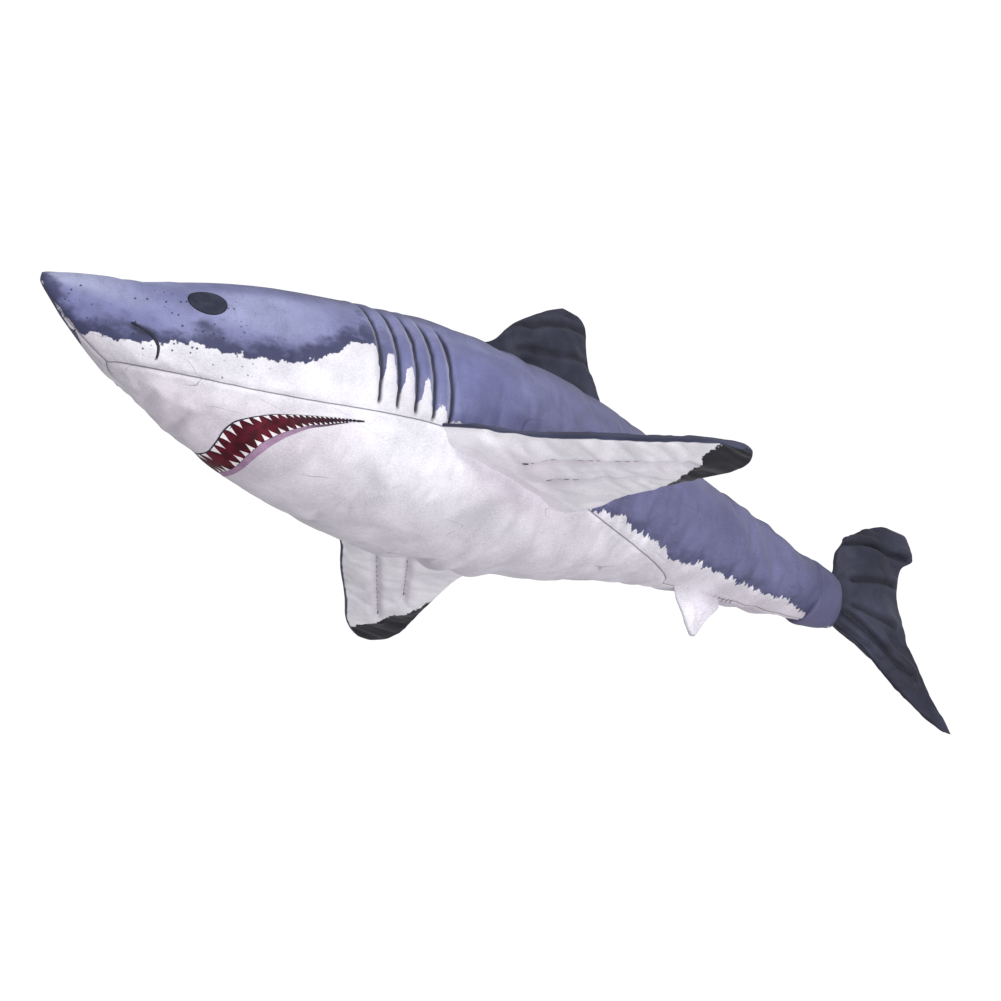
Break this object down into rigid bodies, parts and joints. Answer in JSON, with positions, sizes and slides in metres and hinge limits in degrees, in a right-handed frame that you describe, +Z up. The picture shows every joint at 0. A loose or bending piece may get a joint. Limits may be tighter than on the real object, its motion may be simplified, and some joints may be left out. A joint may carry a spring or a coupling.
{
  "type": "plush shark",
  "caption": "Large stuffed shark toy with printed mouth, eyes and gills, sprung fabric fins and a tail that bends, lying on its belly.",
  "frame": {"origin": "under the middle of the whole length, on the surface that the belly rests on", "axes": "+X from nose to tail, -Y the shark's left side, +Z up from belly to back"},
  "size_m": [1.195, 0.6542, 0.344],
  "materials": {
    "back_plush": "short brushed pile, slate blue-violet, printed",
    "pale_plush": "short brushed pile, off-white, printed",
    "fin_plush": "short brushed pile, charcoal",
    "filling": "loose polyester fibre",
    "thread": "polyester sewing thread"
  },
  "bodies": {
    "root": {"back_panel_left": "back_plush", "back_panel_right": "back_plush", "belly_panel": "pale_plush", "body_fill": "filling", "gill_tucks_left": "thread", "gill_tucks_right": "thread", "closing_stitches": "thread"},
    "tail_stalk": {"tail_panel_left": "back_plush", "tail_panel_right": "back_plush", "tail_cuff": "back_plush", "tail_fill": "filling"},
    "tail_fin": {"tail_fin_left": "fin_plush", "tail_fin_right": "fin_plush", "tail_fin_fill": "filling"},
    "pectoral_fin_left": {"pectoral_under_left": "pale_plush", "pectoral_upper_left": "fin_plush", "pectoral_fill_left": "filling", "pectoral_stitches_left": "thread"},
    "pectoral_fin_right": {"pectoral_under_right": "pale_plush", "pectoral_upper_right": "fin_plush", "pectoral_fill_right": "filling", "pectoral_stitches_right": "thread"},
    "dorsal_fin": {"dorsal_left": "fin_plush", "dorsal_right": "fin_plush", "dorsal_fill": "filling"},
    "belly_fin": {"belly_fin_left": "pale_plush", "belly_fin_right": "pale_plush", "belly_fin_fill": "filling"}
  },
  "joints": [
    {"name": "tail_bend", "type": "hinge", "parent": "root", "child": "tail_stalk", "pos_m": [0.2815, 0, 0.12], "axis": [0, 0, 1], "range_deg": [-20, 20], "stiffness_Nm_per_rad": 2},
    {"name": "tail_fin_sway", "type": "hinge", "parent": "tail_stalk", "child": "tail_fin", "pos_m": [0.4155, 0, 0.118], "axis": [0, 0, 1], "range_deg": [-25, 25], "stiffness_Nm_per_rad": 0.8},
    {"name": "pectoral_left_flap", "type": "hinge", "parent": "root", "child": "pectoral_fin_left", "pos_m": [-0.1985, -0.12569, 0.079], "axis": [-0.9859, -0.1509, 0.0724], "range_deg": [-10, 40], "stiffness_Nm_per_rad": 1.2},
    {"name": "pectoral_right_flap", "type": "hinge", "parent": "root", "child": "pectoral_fin_right", "pos_m": [-0.1985, 0.12569, 0.079], "axis": [0.9859, -0.1509, -0.0724], "range_deg": [-10, 40], "stiffness_Nm_per_rad": 1.2},
    {"name": "dorsal_fin_lean", "type": "hinge", "parent": "root", "child": "dorsal_fin", "pos_m": [-0.1185, 0, 0.25211], "axis": [0.9956, 0, -0.0941], "range_deg": [-25, 25], "stiffness_Nm_per_rad": 0.6},
    {"name": "belly_fin_sway", "type": "hinge", "parent": "root", "child": "belly_fin", "pos_m": [0.1755, 0, 0.0537], "axis": [0.9914, 0, 0.1305], "range_deg": [-40, 40], "stiffness_Nm_per_rad": 0.1}
  ]
}
